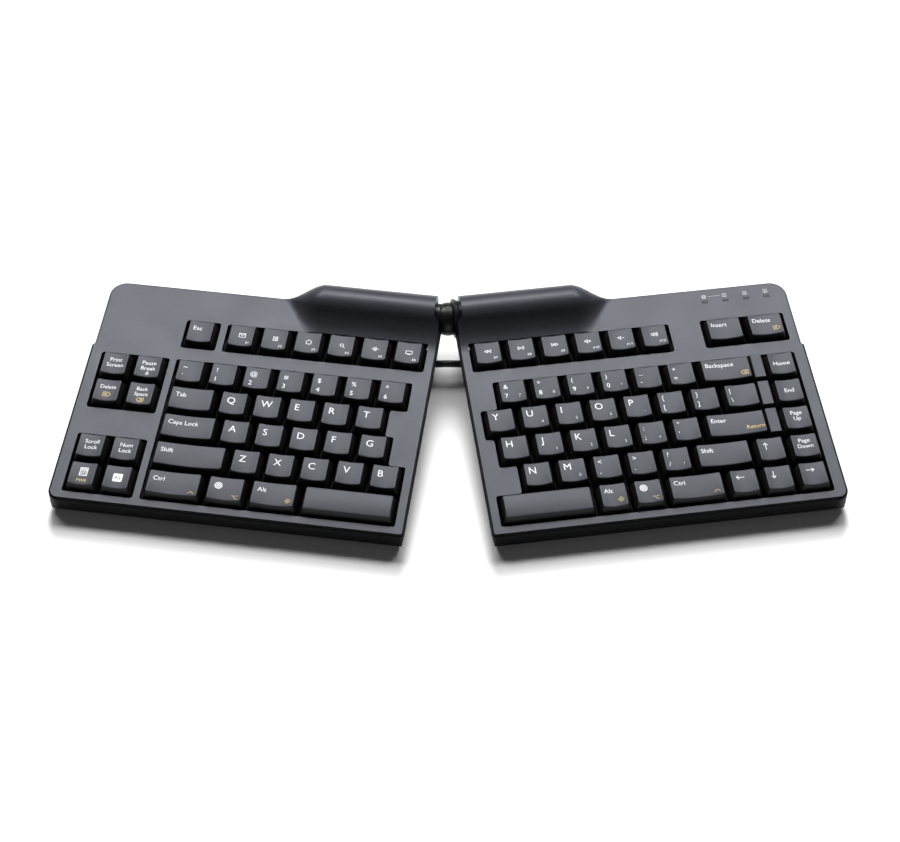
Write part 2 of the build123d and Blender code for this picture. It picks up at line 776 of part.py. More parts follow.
def build_dome_sheet(side):
    """The rubber sheet with one collapsing dome for each key."""
    places = [key_middle(side, start, end, row) for name, start, end, row in key_cells(side)]
    shell = Pos(0, 0, frame_bottom_w + dome_height / 2) * Cone(
        dome_base_radius, dome_top_radius, dome_height)
    hollow_height = dome_height + dome_sheet_thickness - dome_wall
    hollow = Pos(0, 0, sheet_bottom_w + hollow_height / 2) * Cone(
        dome_base_radius - dome_wall, dome_top_radius - dome_wall, hollow_height)
    domes = [deck * Pos(a, v, 0) * shell for a, v in places]
    hollows = [deck * Pos(a, v, 0) * hollow for a, v in places]
    return stack_plate(side, sheet_bottom_w, frame_bottom_w) + domes - hollows


def build_membrane(side):
    """The printed contact sheets, pressed together into one."""
    return stack_plate(side, membrane_bottom_w, sheet_bottom_w)


def build_fillers():
    """The three fixed bars beside Backspace, backslash and Enter."""
    bars = []
    start = from_joint("right", filler_start_share)
    for row in filler_rows_share:
        v = row * key_pitch
        bars.append(right_place * deck * block(
            start, start + filler_width, v - filler_depth / 2, v + filler_depth / 2,
            frame_top_w, -filler_drop))
    return Compound([bar.solids()[0] for bar in bars])


# Ball joint. The left half carries the ball and the clamp, the right half the cup.

def shank():
    """The square bar inside the hump that fastens a joint half to its tray."""
    return block(shank_start, shank_end, -shank_half, shank_half, shank_seat_z,
                 joint_height + shank_half)


def shank_pilots():
    """Pilot holes for the two screws of a shank."""
    return [post(screw_radius + pilot_clearance, x, y, 0, joint_height - rod_radius - overrun)
            for x, y in shank_screw_places()]


def build_ball_stud():
    """The hollow ball, its neck and its shank, on the left half."""
    centre = Pos(0, 0, joint_height)
    neck_profile = make_face(Polyline(
        (0, 0, 0), (neck_start - neck_taper, 0, 0),
        (neck_start - neck_taper, 0, neck_radius - 2 * neck_taper),
        (neck_start, 0, neck_radius), (hump_end + cover_wall / 2, 0, neck_radius),
        (hump_end + cover_wall / 2, 0, neck_inner_radius), (shank_start + overrun, 0, neck_inner_radius),
        (shank_start + overrun, 0, 0), close=True))
    neck = centre * revolve(neck_profile, Axis.X)
    ball = centre * Sphere(ball_radius)
    bore = centre * Sphere(ball_bore_radius)
    yaw = radians(splay_max)
    dip = radians(tent_max)
    half = tongue_half_height + slot_clearance + window_spare
    reach = 2 * ball_radius
    gate = make_face(Polyline(
        (0, 0, half), (-reach, 0, half),
        (-reach, 0, -reach * tan(dip) / cos(yaw) - half / cos(dip)), (0, 0, -half / cos(dip)),
        close=True))
    rear_reach = ball_radius * sin(yaw) + tongue_thickness / 2 + window_spare
    front_reach = tongue_thickness / 2 + window_spare
    gate = centre * Pos(0, rear_reach, 0) * extrude(gate, rear_reach + front_reach, dir=(0, -1, 0))
    lever_room = block(lever_hub_start, lever_hub_start + lever_hub_length, -shank_half - overrun,
                       shank_half + overrun, joint_height - lever_hub_radius - lever_side_gap,
                       joint_height + shank_half + overrun)
    rod_bore = rod_along_x(rod_radius + rod_fit, 0, shank_end + overrun, 0, joint_height)
    trunnion_bore = post(trunnion_radius + running_clearance, 0, 0, joint_height - 2 * ball_radius,
                         joint_height + 2 * ball_radius)
    stud = neck + ball + shank() - bore - gate - lever_room - rod_bore - trunnion_bore
    return stud - shank_pilots()


def build_clamp_rod():
    """The screw that the lever turns and that jams the swivel core when the lever is down."""
    tip = core_radius + rod_tip_gap
    return rod_along_x(rod_radius, tip, tip + rod_length, 0, joint_height)


def build_lock_lever():
    """The lever fixed on the clamp screw, with its pad behind the hump."""
    x0 = lever_hub_start + lever_side_gap
    x1 = lever_hub_start + lever_hub_length - lever_side_gap
    hub = rod_along_x(lever_hub_radius, x0, x1, 0, joint_height)
    arm_x = (x0 + x1 - lever_arm_width) / 2
    pad_y = hump_radius + lever_pad_gap
    half = lever_arm_thickness / 2
    arm = block(arm_x, arm_x + lever_arm_width, 0, pad_y + lever_pad_thickness / 2,
                joint_height - half, joint_height + half - lever_pad_rise)
    middle = (x0 + x1) / 2
    pad = block(middle - lever_pad_length / 2, middle + lever_pad_length / 2, pad_y,
                pad_y + lever_pad_thickness, joint_height + lever_pad_rise - lever_pad_height,
                joint_height + lever_pad_rise)
    bore = rod_along_x(rod_radius + hub_clearance, x0 - overrun, x1 + overrun, 0, joint_height)
    return hub + arm + pad - bore


def lever_slot():
    """The slot in the left hump's back that the lever's arm swings in."""
    x0 = lever_hub_start + (lever_hub_length - lever_arm_width) / 2 - lever_side_gap
    width = lever_arm_width + 2 * lever_side_gap
    low = radians(-lever_slot_margin)
    high = radians(lever_travel + lever_slot_margin)
    reach = 2 * hump_radius
    sector = make_face(Polyline((x0, 0, 0), (x0, reach * cos(low), reach * sin(low)),
                                (x0, reach * cos(high), reach * sin(high)), close=True))
    return Pos(0, 0, joint_height) * extrude(sector, width, dir=(1, 0, 0))


def build_swivel_core():
    """The inner ball: upright trunnions in the stud, a slot for the tongue on the cross pin."""
    ball = Sphere(core_radius)
    trunnions = Cylinder(trunnion_radius, 2 * trunnion_reach)
    dip = radians(tent_max)
    half = tongue_half_height + slot_clearance
    reach = 2 * core_radius
    mouth = make_face(Polyline(
        (0, 0, half), (reach, 0, half), (reach, 0, -reach * tan(dip) - half / cos(dip)),
        (0, 0, -half / cos(dip)), close=True))
    slot_width = tongue_thickness + 2 * slot_clearance
    mouth = Pos(0, slot_width / 2, 0) * extrude(mouth, slot_width, dir=(0, -1, 0))
    eye_room = Rot(90, 0, 0) * Cylinder(tongue_eye_radius + slot_clearance, slot_width)
    pin_bore = Rot(90, 0, 0) * Cylinder(tent_pin_radius, 2 * core_radius)
    tilt = Rot(deck_slope, 0, 0)
    return Pos(0, 0, joint_height) * (ball + trunnions - tilt * (mouth + eye_room + pin_bore))


def build_tent_pin():
    """The cross pin that the cup's tongue turns on, in line with the deck."""
    return Pos(0, 0, joint_height) * Rot(deck_slope, 0, 0) * Rot(90, 0, 0) * Cylinder(
        tent_pin_radius, tent_pin_length)


def build_socket_cup():
    """The cup over the ball, its tongue and its shank, on the right half."""
    centre = Pos(0, 0, joint_height)
    profile = make_face(Polyline(
        (cup_start, 0, 0), *[(x, 0, r) for x, r in cup_outline(0)],
        (cup_neck_at, 0, cup_neck_radius),
        (hump_end + cover_wall / 2, 0, cup_neck_radius),
        (shank_start + overrun, 0, neck_inner_radius),
        (shank_start + 2 * overrun, 0, neck_inner_radius), (shank_start + 2 * overrun, 0, 0),
        close=True))
    bore = Rot(0, 90, 0) * Sphere(cup_bore_radius)
    cup = centre * revolve(profile, Axis.X) - centre * bore
    tilt = Rot(deck_slope, 0, 0)
    tongue = tilt * (block(0, cup_bore_radius + overrun / 2, -tongue_thickness / 2, tongue_thickness / 2,
                           -tongue_half_height, tongue_half_height)
                     + Rot(90, 0, 0) * Cylinder(tongue_eye_radius, tongue_thickness))
    eye = tilt * Rot(90, 0, 0) * Cylinder(tent_pin_radius + running_clearance, 2 * tongue_thickness)
    cup = cup + centre * tongue + shank() - centre * eye
    return cup - shank_pilots()


# Fasteners, feet, boards, lenses and battery

def build_screws():
    """Casing and joint screws of one half."""
    screws = []
    for x, y in boss_places() + shank_screw_places():
        head_top = foot_height + screw_head_height
        screws.append(post(screw_head_radius, x, y, foot_height + screw_sink, head_top)
                      + post(screw_radius, x, y, head_top - overrun / 2, head_top + screw_length))
    return Compound([s.solids()[0] for s in screws])


def build_feet():
    """Rubber feet under one half."""
    return Compound([post(foot_radius, x, y, 0, foot_height).solids()[0] for x, y in foot_places()])


def foot_places():
    """Where the feet stand, near the four corners of a half."""
    front_y = rim_front_y + foot_margin
    return [(foot_inner_x, front_y), (rim_outer - foot_margin, front_y),
            (rim_outer - foot_margin, foot_rear_y), (foot_inner_x, foot_rear_y)]


def connector():
    """The socket on a board that the bridge cable ends in."""
    top = board_height + board_thickness
    return block(cable_end, cable_end + connector_length, cable_y - connector_width / 2,
                 cable_y + connector_width / 2, top, top + connector_height)


def build_link_board():
    """A small board on its posts, with a connector for the bridge cable and a chip."""
    x1 = link_board_start + link_board_length
    y1 = link_board_front_y + link_board_depth
    top = board_height + board_thickness
    board = block(link_board_start, x1, link_board_front_y, y1, board_height, top)
    chip_x = x1 - chip_size - connector_length / 2
    chip = block(chip_x, chip_x + chip_size, cable_y - chip_size / 2, cable_y + chip_size / 2,
                 top, top + chip_height)
    return board + connector() + chip


def led_places():
    """Where the four status lights sit, outwards from the joint."""
    return [led_first_a + i * led_spacing for i in range(led_count)]


def led_board_top_w():
    """Depth of the LED board's upper face."""
    return -bezel_drop - cover_thickness - led_board_drop


def build_led_board():
    """The board with four lights, hung under the cover at the rear right."""
    top = led_board_top_w()
    board = block(led_board_start, led_board_end, led_row_v - led_board_depth / 2,
                  led_row_v + led_board_depth / 2, top - board_thickness, top)
    lights = [block(a - led_size / 2, a + led_size / 2, led_row_v - led_size / 2,
                    led_row_v + led_size / 2, top, top + led_height) for a in led_places()]
    return deck * (board + lights)


def led_hangers():
    """Two posts under the right cover that the LED board is fixed to."""
    inset = board_post_radius + board_post_gap / 2
    return [deck * post(board_post_radius, a, led_row_v, led_board_top_w(),
                        -bezel_drop - cover_thickness / 2)
            for a in (led_board_start + inset, led_board_end - inset)]


def lens_cuts(clearance):
    """The light windows, as solids or, with a clearance, as the holes they sit in."""
    low = led_board_top_w() + led_height + lens_gap
    high = -bezel_drop - lens_sink if clearance == 0 else overrun - bezel_drop
    half_x = lens_width / 2 + clearance
    half_v = lens_depth / 2 + clearance
    return [deck * block(a - half_x, a + half_x, led_row_v - half_v, led_row_v + half_v, low, high)
            for a in led_places()]


def door_span():
    """Where the battery door starts and ends, outwards from the joint."""
    cells_end = cell_start + 2 * (cell_length + cell_nub_length) + cell_gap
    return cell_start - door_margin, cells_end + door_margin


def build_battery_door():
    """The door in the tray's floor, which slides out to the rear."""
    x0, x1 = door_span()
    door = block(x0, x1, door_front_y, rear_edge_y, foot_height, foot_height + door_thickness)
    return door & tray_base(door_side_gap, foot_height, foot_height + door_thickness)


def build_cells():
    """Two round cells end to end over the door."""
    z = foot_height + door_thickness + cell_floor_gap + cell_radius
    cells = []
    for i in range(2):
        x = cell_start + i * (cell_length + cell_nub_length + cell_gap)
        cell = (rod_along_x(cell_radius, x, x + cell_length, cell_y, z)
                + rod_along_x(cell_nub_radius, x + cell_length - overrun,
                              x + cell_length + cell_nub_length, cell_y, z))
        cells.append(cell.solids()[0])
    return Compound(cells)


def cable_route():
    """Points of the bridge cable, from the left board's connector to the right one's."""
    start = Pos(-cable_end - cable_sink, cable_y, cable_height)
    wall = Pos(-cable_wall_x, cable_y, cable_height + cable_rise_at_wall)
    left = [(left_place * p).position for p in (start, wall)]
    middle_y = cable_y / cos(radians(splay_at_rest))
    right = [Vector(-p.X, p.Y, p.Z) for p in reversed(left)]
    return left + [Vector(0, middle_y, cable_height + cable_arch)] + right


def build_bridge_cable():
    """The round cable that joins the two halves electrically, in one gentle arch."""
    points = cable_route()
    radii = []
    for before, here, after in zip(points, points[1:], points[2:]):
        turn = radians((here - before).get_angle(after - here))
        run = min((here - before).length, (after - here).length)
        radii.append(cable_arc_share * run / tan(turn / 2))
    path = FilletPolyline(*points, radius=radii)
    section = Plane(origin=path @ 0, z_dir=path % 0) * Circle(cable_diameter / 2)
    print("bridge cable", round(path.length, 1), "long, radii", [round(r, 1) for r in radii])
    return sweep(section, path=path) - on_left(connector()) - on_right(connector())


def on_left(shape):
    """Mirror a shape drawn for the right half and set it on the left one."""
    return left_place * mirror(shape, about=Plane.YZ)


def on_right(shape):
    """Set a shape on the right half."""
    return right_place * shape


# The assembly

left_keys = build_keys("left")
right_keys = build_keys("right")
banks = {
    "left_upper_keys": (left_keys, ["escape"] + ["function_%d" % n for n in range(1, 7)]
                        + ["left_number_%d" % n for n in range(7)]),
    "left_outer_keys": (left_keys, ["tab", "caps_lock", "left_shift", "left_control", "left_system",
                                    "left_alt"] + ["side_%s_%d" % (row, n) for row in (0, 1, 3, 4)
                                                   for n in range(2)]),
    "right_upper_keys": (right_keys, ["function_%d" % n for n in range(7, 13)]
                         + ["right_number_%d" % n for n in range(6, 12)]
                         + ["backspace", "insert", "delete"]),
    "right_outer_keys": (right_keys, ["bracket_open", "bracket_close", "backslash", "semicolon", "quote",
                                      "comma", "period", "slash", "enter", "right_shift", "right_alt",
                                      "right_system", "right_control", "arrow_up", "arrow_left",
                                      "arrow_down", "arrow_right", "home", "end", "page_up",
                                      "page_down"]),
}



def neck_hole(half):
    """The hole round a neck, open below, so that the cover drops over the joint."""
    return (rod_along_x(half, 0, shank_start, 0, joint_height)
            + block(0, post_start, -half, half, 0, joint_height))


nodes = {
    "left_top_cover": on_left(build_cover("left") - neck_hole(left_hole_radius) - lever_slot()),
    "right_top_cover": on_right(build_cover("right") + led_hangers()
                                - neck_hole(right_hole_radius) - cup_room() - lens_cuts(lens_fit)),
    "left_bottom_tray": on_left(build_tray("left")),
    "right_bottom_tray": on_right(build_tray("right")),
    "left_key_frame": on_left(build_key_frame("left")),
    "right_key_frame": on_right(build_key_frame("right")),
    "left_dome_sheet": on_left(build_dome_sheet("left")),
    "right_dome_sheet": on_right(build_dome_sheet("right")),
    "left_membrane": on_left(build_membrane("left")),
    "right_membrane": on_right(build_membrane("right")),
    "left_link_board": on_left(build_link_board()),
    "controller_board": on_right(build_link_board()),
    "led_board": on_right(build_led_board()),
    "status_lenses": on_right(Compound([s.solids()[0] for s in lens_cuts(0)])),
    "filler_bars": build_fillers(),
    "left_feet": on_left(build_feet()),
    "right_feet": on_right(build_feet()),
    "left_screws": on_left(build_screws()),
    "right_screws": on_right(build_screws()),
    "ball_stud": on_left(build_ball_stud()),
    "clamp_rod": on_left(build_clamp_rod()),
    "lock_lever": on_left(build_lock_lever()),
    "swivel_core": on_right(build_swivel_core()),
    "tent_pin": on_right(build_tent_pin()),
    "socket_cup": on_right(build_socket_cup()),
    "bridge_cable": build_bridge_cable(),
    "battery_cells": on_right(build_cells()),
    "battery_door": on_right(build_battery_door()),
}
for bank, (keys, names) in banks.items():
    nodes[bank] = Compound([keys[name].solids()[0] for name in names])
for name, cap in list(left_keys.items()) + list(right_keys.items()):
    if name.startswith("key_") or name.endswith("_space_bar"):
        nodes[name] = cap

# The origin: under the middle of the whole keyboard's bounding box, on the desk
box = Compound([s for shape in nodes.values() for s in shape.solids()]).bounding_box()
to_origin = Pos(-(box.min.X + box.max.X) / 2, -(box.min.Y + box.max.Y) / 2, 0)

os.makedirs("parts", exist_ok=True)
for name, shape in nodes.items():
    export_step(to_origin * whole(shape), "parts/%s.step" % name)
print("joint centre at", -(box.min.X + box.max.X) / 2, -(box.min.Y + box.max.Y) / 2, joint_height)
print("size", box.size)
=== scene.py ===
import bpy
import bmesh
from math import cos, sin, radians, pi
from mathutils import Matrix, Vector


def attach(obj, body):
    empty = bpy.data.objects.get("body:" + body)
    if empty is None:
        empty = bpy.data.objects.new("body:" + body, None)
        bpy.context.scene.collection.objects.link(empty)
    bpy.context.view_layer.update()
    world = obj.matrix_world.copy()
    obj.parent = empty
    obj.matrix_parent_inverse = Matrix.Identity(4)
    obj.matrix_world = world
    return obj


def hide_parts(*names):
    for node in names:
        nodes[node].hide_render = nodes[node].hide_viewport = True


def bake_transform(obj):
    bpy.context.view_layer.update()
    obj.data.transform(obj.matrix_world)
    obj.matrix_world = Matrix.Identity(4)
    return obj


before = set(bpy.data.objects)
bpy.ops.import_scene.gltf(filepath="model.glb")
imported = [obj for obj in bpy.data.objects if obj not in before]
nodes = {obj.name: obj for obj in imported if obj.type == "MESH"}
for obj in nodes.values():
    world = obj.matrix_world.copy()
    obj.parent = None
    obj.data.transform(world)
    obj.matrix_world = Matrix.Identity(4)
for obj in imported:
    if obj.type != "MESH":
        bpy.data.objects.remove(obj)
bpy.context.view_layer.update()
MM = 0.001

# Sizes that the keys and legends share with the body, in metres
pitch = 19.05 * MM
key_gap = 0.75 * MM
side_lean = 2.3 * MM
front_lean = 1.95 * MM
key_depth = pitch - key_gap
key_height = 8 * MM
cap_corner = 1.1 * MM
cap_rim = 0.55 * MM
cap_strips = 14
dish = 1.0 * MM
crown = 0.5 * MM
crest = 0.35 * MM
shaped_depth = 1.6 * MM
ink_lift = 0.03 * MM
dark_ink_lift = 0.02 * MM
bezel_w = -4 * MM
column_start = {"left": -146.8 * MM, "right": -96.1 * MM}

# Where the halves' own frames lie: splayed about the joint, and sloping to the front
joint = Vector((0, 60.0892 * MM, 25.2 * MM))
splay = radians(8)
deck = (Matrix.Rotation(radians(5), 4, "X")
        @ Matrix.Translation((0, -135.7 * MM, 5.3 * MM)))
half_place = {
    side: Matrix.Translation(joint) @ Matrix.Rotation(way * splay, 4, "Z") @ deck
    for side, way in (("left", -1), ("right", 1))
}

# The status lights' signs, in the right half's frame
sign_first = 147.7 * MM
sign_spacing = 12.05 * MM
sign_row = 131.9 * MM
sign_size = 2.5 * MM
sign_dash_gap = 5.4 * MM

# The bridge cable's line from a board's socket to the middle, in the left half's frame and in mm
cable_socket = (-15.2, -22.2, 9.9)
cable_wall = (-5.0, -22.2, 10.3)
cable_top = (0, -22.42, 12.1)
cable_radius = 2.05 * MM


# Materials

def socket(group, name, kind, way, value=None):
    made = group.interface.new_socket(name=name, in_out=way, socket_type=kind)
    if value is not None:
        made.default_value = value
    return made


def moulded_texture():
    """Spark-eroded plastic: fine grain, slow mottling of tone and gloss, and a little dust."""
    group = bpy.data.node_groups.new("moulded_texture", "ShaderNodeTree")
    socket(group, "Tone", "NodeSocketColor", "INPUT", (0.03, 0.03, 0.03, 1))
    socket(group, "Dust Tone", "NodeSocketColor", "INPUT", (0.06, 0.06, 0.06, 1))
    socket(group, "Grain", "NodeSocketFloat", "INPUT", 1600)
    socket(group, "Mottle", "NodeSocketFloat", "INPUT", 0.1)
    socket(group, "Gloss", "NodeSocketFloat", "INPUT", 0.45)
    socket(group, "Color", "NodeSocketColor", "OUTPUT")
    socket(group, "Roughness", "NodeSocketFloat", "OUTPUT")
    socket(group, "Height", "NodeSocketFloat", "OUTPUT")
    n, l = group.nodes, group.links
    start, end = n.new("NodeGroupInput"), n.new("NodeGroupOutput")
    place = n.new("ShaderNodeTexCoord")
    fine, slow, speck = (n.new("ShaderNodeTexNoise") for _ in range(3))
    for tex, scale, detail in ((fine, 1600, 2), (slow, 45, 4), (speck, 420, 3)):
        tex.inputs["Scale"].default_value = scale
        tex.inputs["Detail"].default_value = detail
        l.new(place.outputs["Object"], tex.inputs["Vector"])
    l.new(start.outputs["Grain"], fine.inputs["Scale"])

    def spread(source, low, high):
        step = n.new("ShaderNodeMapRange")
        step.inputs["From Min"].default_value = low
        step.inputs["From Max"].default_value = high
        l.new(source, step.inputs["Value"])
        return step.outputs["Result"]

    def maths(kind, a, b):
        step = n.new("ShaderNodeMath")
        step.operation = kind
        for i, value in enumerate((a, b)):
            if isinstance(value, (int, float)):
                step.inputs[i].default_value = value
            else:
                l.new(value, step.inputs[i])
        return step.outputs[0]

    centred = maths("SUBTRACT", slow.outputs["Fac"], 0.5)
    pebble = maths("SUBTRACT", fine.outputs["Fac"], 0.5)
    dust = maths("MULTIPLY", spread(speck.outputs["Fac"], 0.52, 0.75), start.outputs["Mottle"])
    tint = n.new("ShaderNodeMix")
    tint.data_type = "RGBA"
    l.new(dust, tint.inputs["Factor"])
    l.new(start.outputs["Tone"], tint.inputs["A"])
    l.new(start.outputs["Dust Tone"], tint.inputs["B"])
    shade = n.new("ShaderNodeHueSaturation")
    drift = maths("MULTIPLY", centred, start.outputs["Mottle"])
    both = maths("ADD", maths("MULTIPLY", drift, 2.0), maths("MULTIPLY", pebble, 0.8))
    l.new(maths("ADD", both, 1.0), shade.inputs["Value"])
    l.new(tint.outputs["Result"], shade.inputs["Color"])
    l.new(shade.outputs["Color"], end.inputs["Color"])
    l.new(maths("ADD", start.outputs["Gloss"],
                maths("ADD", drift, maths("MULTIPLY", pebble, 0.25))), end.inputs["Roughness"])
    l.new(fine.outputs["Fac"], end.inputs["Height"])
    return group


grain = moulded_texture()


def plastic(name, tone, gloss, size=0.6, bump=0.02, mottle=0.1, **extra):
    """A moulded material with its own tone, gloss, and grain size and bump height in millimetres."""
    made = bpy.data.materials.new(name)
    made.use_nodes = True
    n, l = made.node_tree.nodes, made.node_tree.links
    shader = n["Principled BSDF"]
    cell = n.new("ShaderNodeGroup")
    cell.node_tree = grain
    cell.inputs["Tone"].default_value = (*tone, 1)
    cell.inputs["Dust Tone"].default_value = (*[min(1, c * 1.7 + 0.02) for c in tone], 1)
    cell.inputs["Grain"].default_value = 1 / (size * MM)
    cell.inputs["Mottle"].default_value = mottle
    cell.inputs["Gloss"].default_value = gloss
    l.new(cell.outputs["Color"], shader.inputs["Base Color"])
    l.new(cell.outputs["Roughness"], shader.inputs["Roughness"])
    ripple = n.new("ShaderNodeBump")
    ripple.inputs["Distance"].default_value = bump * MM
    ripple.inputs["Strength"].default_value = 0.5
    l.new(cell.outputs["Height"], ripple.inputs["Height"])
    l.new(ripple.outputs["Normal"], shader.inputs["Normal"])
    for key, value in extra.items():
        shader.inputs[key.replace("_", " ").title().replace("Ior", "IOR")].default_value = value
    return made


cool = (0.86, 0.91, 1.0, 1)
paint = {
    "keycap": plastic("keycap_plastic", (0.034, 0.035, 0.042), 0.46, 0.6, 0.035,
                      specular_tint=cool),
    # The skirt material is the key plastic painted much darker: painted shade on the cap sides, and
    # also the dark ink of the Fn mark.
    "skirt_shade_and_dark_ink": plastic("keycap_skirt_plastic", (0.004, 0.004, 0.005), 0.55, 0.4, 0.012),
    "cover": plastic("cover_plastic", (0.028, 0.029, 0.036), 0.40, 0.6, 0.06, 0.13,
                     specular_tint=cool),
    "tray": plastic("tray_plastic", (0.003, 0.003, 0.004), 0.5, 0.6, 0.012,
                    specular_ior_level=0.12),
    "underside": plastic("key_frame_plastic", (0.005, 0.005, 0.006), 0.6, 0.8, 0.02),
    "joint": plastic("joint_plastic", (0.007, 0.007, 0.008), 0.36, 0.5, 0.008),
    "core": plastic("core_steel", (0.02, 0.02, 0.022), 0.4, 0.3, 0.006, 0.1, metallic=0.5),
    "rubber": plastic("dome_rubber", (0.30, 0.30, 0.31), 0.7, 0.5, 0.02),
    "foot": plastic("foot_rubber", (0.022, 0.022, 0.022), 0.75, 0.45, 0.03, 0.2),
    "film": plastic("membrane_film", (0.5, 0.53, 0.55), 0.3, 1.2, 0.01),
    "board": plastic("circuit_board", (0.02, 0.13, 0.05), 0.35, 1.0, 0.02, 0.2),
    "lens": plastic("smoked_lens", (0.004, 0.004, 0.005), 0.3, 1.0, 0.004, 0.05,
                    specular_ior_level=0.2),
    "steel": plastic("black_steel", (0.16, 0.16, 0.165), 0.38, 0.3, 0.01, 0.1, metallic=1.0),
    "bright": plastic("ground_steel", (0.55, 0.55, 0.56), 0.28, 0.3, 0.01, 0.08, metallic=1.0),
    "cable": plastic("cable_jacket", (0.014, 0.014, 0.015), 0.42, 0.4, 0.01),
    "cell": plastic("cell_wrap", (0.05, 0.055, 0.07), 0.3, 0.8, 0.006, metallic=0.6),
    "white_ink": plastic("white_ink", (0.80, 0.80, 0.82), 0.55, 0.3, 0.01, 0.06),
    "grey_ink": plastic("small_ink", (0.52, 0.53, 0.55), 0.55, 0.3, 0.01, 0.06),
    "gold_ink": plastic("gold_ink", (0.58, 0.42, 0.16), 0.5, 0.3, 0.01, 0.08),
}


def dress(piece, *names):
    """Put materials on a piece, first slot first."""
    slots = piece.data.materials
    for i, name in enumerate(names):
        if i < len(slots):
            slots[i] = paint[name]
        else:
            slots.append(paint[name])


def finish_piece(name, bm, body, slot, *materials):
    """Make an object of a bmesh that is in place, and let it ride on a body if one is given."""
    mesh = bpy.data.meshes.new(name)
    bm.to_mesh(mesh)
    bm.free()
    piece = bpy.data.objects.new(name, mesh)
    bpy.context.scene.collection.objects.link(piece)
    dress(piece, *materials)
    if body:
        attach(piece, body)
    return piece


def even_normals(piece):
    """Shade flats flat and bevels round."""
    step = piece.modifiers.new("even_normals", "WEIGHTED_NORMAL")
    step.keep_sharp = True
    step.weight = 80


# Flat marks: words and little drawings

letters = {}


def word(text):
    """A word as a flat mesh on its baseline."""
    if text not in letters:
        curve = bpy.data.curves.new("word", "FONT")
        curve.body = text
        curve.size = 1
        curve.resolution_u = 3
        holder = bpy.data.objects.new("word", curve)
        bpy.context.scene.collection.objects.link(holder)
        bpy.context.view_layer.update()
        mesh = bpy.data.meshes.new_from_object(holder)
        bpy.data.objects.remove(holder)
        letters[text] = mesh
    return letters[text]


def extent(mesh, axis):
    places = [v.co[axis] for v in mesh.vertices]
    return min(places), max(places)


cap_unit = extent(word("H"), 1)[1]


def ring(x, y, r, sides=14):
    points = [(x + r * cos(2 * pi * i / sides), y + r * sin(2 * pi * i / sides)) for i in range(sides)]
    return points + points[:1]


def box_line(x0, y0, x1, y1):
    return [(x0, y0), (x1, y0), (x1, y1), (x0, y1), (x0, y0)]


def triangle(x, w, h):
    return [(x, 0), (x + w, h), (x + w, -h), (x, 0)]


